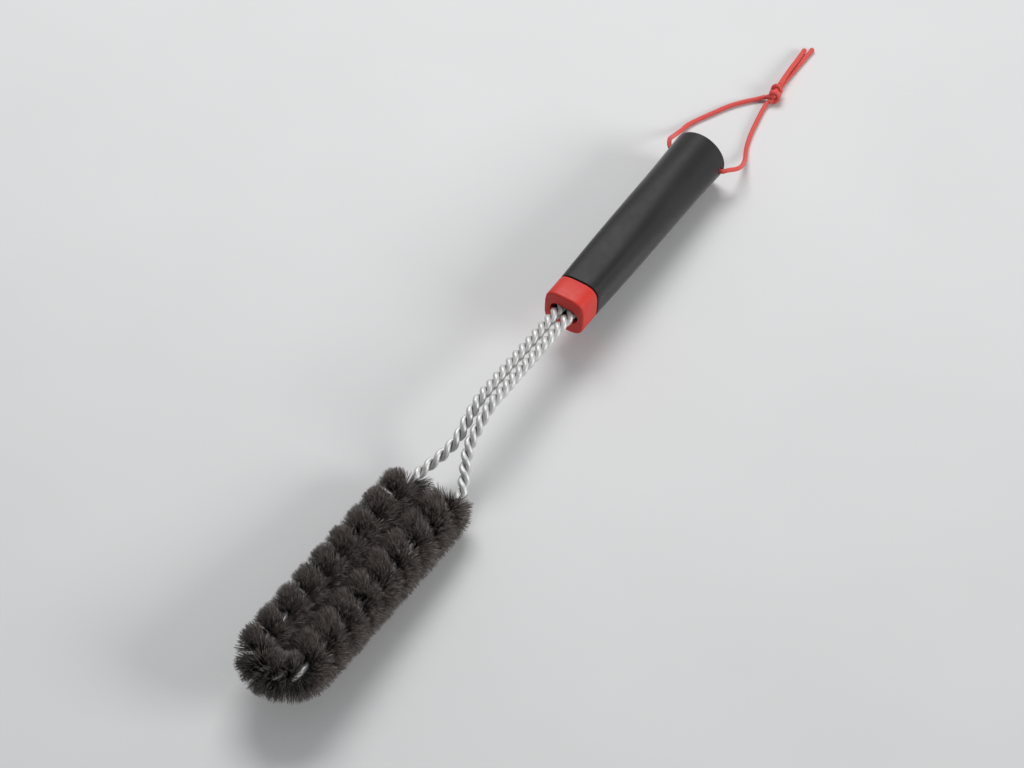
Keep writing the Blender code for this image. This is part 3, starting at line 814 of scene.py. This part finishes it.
# ---- bristles ------------------------------------------------------------------------
def add_bristles(twist, material):
    """Single hairs, gripped between the two strands, so that they stand off both sides of
    the twist in two flights that wind along the loop. They grow in small tufts."""
    rng = np.random.default_rng(HAIR_SEED)
    in_head = np.flatnonzero(twist.line[:, 0] < HAIR_START)
    first, last = twist.done[in_head[0]], twist.done[in_head[-1]]
    distances = np.sort(rng.uniform(first, last, TUFT_COUNT))
    flight = np.where(rng.random(TUFT_COUNT) < 0.5, 0.5, -0.5) * pi
    spread = rng.uniform(-FLIGHT_SPREAD, FLIGHT_SPREAD, TUFT_COUNT)
    lean = rng.normal(0.0, TUFT_LEAN, TUFT_COUNT)
    tuft = np.repeat(np.arange(TUFT_COUNT), HAIRS_PER_TUFT)
    count = len(tuft)
    distances = np.clip(distances[tuft] + rng.normal(0, 0.0004, count), first, last)
    centre, along, across, above, angle = twist.at(distances)
    to_end = np.minimum(distances - first, last - distances)
    backwards = np.where(distances < (first + last) / 2, -1.0, 1.0)
    lean = lean[tuft] + rng.normal(0, HAIR_LEAN, count)
    in_bend = ease((centre[:, 0] - LOOP_CENTRE) / -0.004)
    on_top = np.clip(np.sin(angle + flight[tuft] + spread[tuft]), 0, 1)
    parted = on_top * (PARTING[0] + PARTING[1] * in_bend)
    direction = angle + flight[tuft] + spread[tuft] * (1 - parted)
    direction += rng.normal(0, HAIR_TURN, count)
    upward = np.clip(np.sin(direction), 0, 1)
    lean += backwards * END_LEAN * (1 - upward) * (1 - ease(to_end / END_LEAN_REACH))
    radial = across * np.cos(direction)[:, None] + above * np.sin(direction)[:, None]
    heading = radial * np.cos(lean)[:, None] + along * np.sin(lean)[:, None]
    length = BRISTLE_RADIUS * np.clip(rng.normal(0.98, 0.035, TUFT_COUNT)[tuft]
                                      + rng.normal(0, 0.05, count), 0.70, 1.07)
    length *= 1 - END_SHORTER * (1 - ease(to_end / END_SHORTER_REACH))
    outermost = np.abs(spread[tuft]) / FLIGHT_SPREAD
    length *= 1 - (NOTCH[0] + NOTCH[1] * in_bend) * outermost ** 3 * upward
    inward = np.clip(np.cos(direction), 0, 1)
    length *= 1 + inward * (INWARD[0] + INWARD[1] * in_bend)
    lift = inward * np.sign(np.sin(direction)) * rng.uniform(0.0, INWARD_LIFT, count)
    round_radial = np.cross(along, radial)
    curl = (round_radial * rng.normal(0, 0.0006, count)[:, None]
            + along * rng.normal(0, 0.0005, count)[:, None] + above * lift[:, None])
    shares = np.array((0.06, 0.55, 1.0))
    spine = (centre[:, None, :] + heading[:, None, :] * (length[:, None] * shares)[:, :, None]
             + curl[:, None, :] * (shares ** 2)[None, :, None])
    spine = placed(spine, BRUSH_FRAME)
    spine[:, :, 2] = np.maximum(spine[:, :, 2], 2 * HAIR_RADIUS)
    tone = rng.random(TUFT_COUNT)[tuft] * 0.35 + rng.random(count) * 0.65
    hair_pieces(spine, tone, shares, material)


def hair_pieces(spine, tone, shares, material):
    """Three-sided tapered hairs along the spines, shared between a few pieces."""
    run = unit(spine[:, -1] - spine[:, 0])
    level = unit(np.cross(run, np.array((0.13, 0.27, 0.95))))
    third = np.cross(run, level)
    turn = 2 * pi * np.arange(3) / 3
    spoke = (level[:, None, :] * np.cos(turn)[None, :, None]
             + third[:, None, :] * np.sin(turn)[None, :, None])
    taper = HAIR_RADIUS * np.array((1.0, 1.0, 0.6))
    rings = spine[:, :, None, :] + spoke[:, None, :, :] * taper[None, :, None, None]
    rows = len(shares)
    one = ring_quads(rows, 3)
    nodes = ("bristles_left", "bristles_tip", "bristles_right")
    for index, chosen in enumerate(np.array_split(np.arange(len(spine)), HAIR_PIECES)):
        size = rows * 3
        offsets = (np.arange(len(chosen)) * size)[:, None, None]
        quads = (one[None, :, :] + offsets).reshape(-1, 4)
        starts = np.arange(len(chosen)) * size
        ends = np.stack((starts + size - 3, starts + size - 2, starts + size - 1), axis=1)
        tip = np.tile(np.repeat(shares, 3), len(chosen))
        tones = np.repeat(tone[chosen], size)
        piece = new_piece(f"bristle_run_{index + 1}", rings[chosen].reshape(-1, 3), quads,
                          material, ends, {"tip": tip, "tone": tones})
        share = (index + 0.5) / HAIR_PIECES
        node = nodes[0] if share < 0.42 else nodes[1] if share < 0.58 else nodes[2]
        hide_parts(node)
        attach(piece, "brush")


# ---- build ---------------------------------------------------------------------------
set_view()
add_camera()
add_cord(cord_fibre())
add_world()
add_table()
add_lamp("overhead", (0.75, 0.55, 1.25), (0.0, 0.0, 0.0), 1.0, 0.7, 16.4)
add_lamp("side", (0.60, -2.70, 1.30), (0.0, 0.0, 0.0), 1.5, 1.0, 52.0)

add_grip(grip_plastic())
CORE = core_plastic()
add_plug(CORE)
add_collar(collar_plastic())
finish_hidden_parts(CORE, fitting_steel())

TWIST = Twist()
WIRE = wire_steel()
add_strand("wire_a", "wire_strand_a", 0.0, TWIST, WIRE)
add_strand("wire_b", "wire_strand_b", pi, TWIST, WIRE)
add_bristles(TWIST, bristle_fibre())
